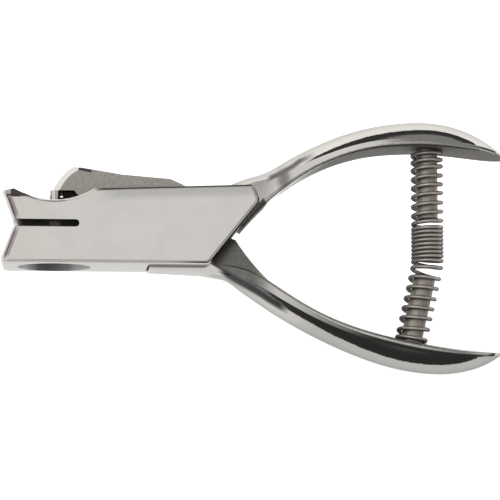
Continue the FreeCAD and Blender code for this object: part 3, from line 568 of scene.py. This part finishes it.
def wire_points():
    points = []
    for number in range((len(TURN_PLACES) - 1) * STEPS_PER_TURN + 1):
        turn = number / STEPS_PER_TURN
        place, way = spring_line(turn_place(turn))
        right = Vector((-way.y, way.x, 0))
        angle = turn * math.tau
        points.append(place + right * (COIL_RADIUS * math.cos(angle))
                      + Vector((0, 0, COIL_RADIUS * math.sin(angle))))
    return points


def tube_mesh(name, points, radius, sides):
    """A round wire along points, with slightly rounded ends."""
    last = len(points) - 1
    verts, faces = [], []
    across = Vector((0, 0, 1))
    for index, point in enumerate(points):
        way = (points[min(index + 1, last)] - points[max(index - 1, 0)]).normalized()
        across = (across - way * across.dot(way)).normalized()
        other = way.cross(across)
        for side in range(sides):
            angle = math.tau * side / sides
            ray = across * math.cos(angle) + other * math.sin(angle)
            verts.append((point + ray * radius) * MM)
    for ring in range(0, last * sides, sides):
        for side in range(sides):
            after = (side + 1) % sides
            faces.append((ring + side, ring + after, ring + sides + after, ring + sides + side))
    for index, neighbour, forward in ((0, 1, False), (last, last - 1, True)):
        end = points[index]
        way = (end - points[neighbour]).normalized()
        ring = [index * sides + side for side in range(sides)]
        small = [len(verts) + side for side in range(sides)]
        for corner in ring:
            ray = Vector(verts[corner]) / MM - end
            verts.append((end + ray * WIRE_END_RADIUS + way * radius * WIRE_END_LENGTH) * MM)
        cap = [(ring[side], ring[(side + 1) % sides], small[(side + 1) % sides], small[side])
               for side in range(sides)] + [tuple(small)]
        faces += cap if forward else [face[::-1] for face in cap]
    mesh = bpy.data.meshes.new(name)
    mesh.from_pydata([tuple(vert) for vert in verts], [], faces)
    mesh.update()
    for polygon in mesh.polygons:
        polygon.use_smooth = len(polygon.vertices) < sides
    return mesh


def add_spring():
    mesh = tube_mesh("spring_wire", wire_points(), WIRE_RADIUS, WIRE_SIDES)
    mesh.materials.append(steel("wire_steel", *WIRE_STEEL))
    spring = bpy.data.objects.new("spring_wire", mesh)
    scene.collection.objects.link(spring)
    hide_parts("return_spring")
    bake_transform(spring)


# Floor: white, and so bright in itself that it stays white under the soft light
FLOOR_SIZE = 4000.0
FLOOR_DROP = 0.05
FLOOR_GREY = 0.15
FLOOR_ROUGHNESS = 0.9
FLOOR_GLOW = 1.0
# It glows more towards +Y: the fade along Y, and how much more
GLOW_RISE = (-30.0, 0.0)
GLOW_RISE_AMOUNT = 0.3


def add_floor():
    mesh = bpy.data.meshes.new("floor")
    half = FLOOR_SIZE / 2 * MM
    corners = [(-half, -half, 0), (half, -half, 0), (half, half, 0), (-half, half, 0)]
    mesh.from_pydata(corners, [], [(0, 1, 2, 3)])
    floor = bpy.data.objects.new("floor", mesh)
    floor.location.z = -FLOOR_DROP * MM
    scene.collection.objects.link(floor)
    material, tree, shader = new_material("white_floor")
    shader.inputs["Base Color"].default_value = (*grey(FLOOR_GREY), 1)
    shader.inputs["Roughness"].default_value = FLOOR_ROUGHNESS
    shader.inputs["Specular IOR Level"].default_value = 0.0
    shader.inputs["Emission Color"].default_value = (1, 1, 1, 1)
    rise = fading(y=[GLOW_RISE])(tree)
    glow = maths(tree, "MULTIPLY_ADD", rise, GLOW_RISE_AMOUNT, FLOOR_GLOW)
    tree.links.new(glow, shader.inputs["Emission Strength"])
    mesh.materials.append(material)


# Light: a large soft lamp overhead, open to the left, in a grey room that is dark at the table and
# lighter to the right. Fades are of the direction's X, Y and Z, and amounts add up.
ROOM_HEIGHT = (0.30, 0.45)
ROOM_NEAR_SIDE = (-0.72, -0.5)
RIGHT_SIDE = (0.3, 0.55)
LAMP_RIGHT_EDGE = (0.26, 0.07)
LAMP_NEAR_EDGE = (-0.55, 0.0)
LAMP_FAR_EDGE = (0.82, 0.52)
LAMP_HEIGHT = (0.1, 0.3)
DARK_LIGHT = 0.05
ROOM_LIGHT = 0.26
RIGHT_LIGHT = 0.35
LAMP_LIGHT = 0.70
WORLD_STRENGTH = 1.05


def add_world():
    world = bpy.data.worlds.new("studio")
    scene.world = world
    world.use_nodes = True
    tree = world.node_tree
    tree.nodes.clear()
    output = tree.nodes.new("ShaderNodeOutputWorld")
    background = tree.nodes.new("ShaderNodeBackground")
    x, y, z = parts(tree, "Generated")
    room = all_of(tree, step(tree, z, *ROOM_HEIGHT), step(tree, y, *ROOM_NEAR_SIDE))
    right = all_of(tree, room, step(tree, x, *RIGHT_SIDE))
    lamp = all_of(tree, step(tree, x, *LAMP_RIGHT_EDGE), step(tree, y, *LAMP_NEAR_EDGE),
                  step(tree, y, *LAMP_FAR_EDGE), step(tree, z, *LAMP_HEIGHT))
    light = maths(tree, "MULTIPLY_ADD", room, ROOM_LIGHT, DARK_LIGHT)
    light = maths(tree, "MULTIPLY_ADD", right, RIGHT_LIGHT, light)
    light = maths(tree, "MULTIPLY_ADD", lamp, LAMP_LIGHT, light)
    tree.links.new(light, background.inputs["Color"])
    background.inputs["Strength"].default_value = WORLD_STRENGTH
    tree.links.new(background.outputs["Background"], output.inputs["Surface"])


add_spring()
add_camera()
add_floor()
add_world()
scene.view_settings.view_transform = "Standard"
scene.view_settings.look = "None"
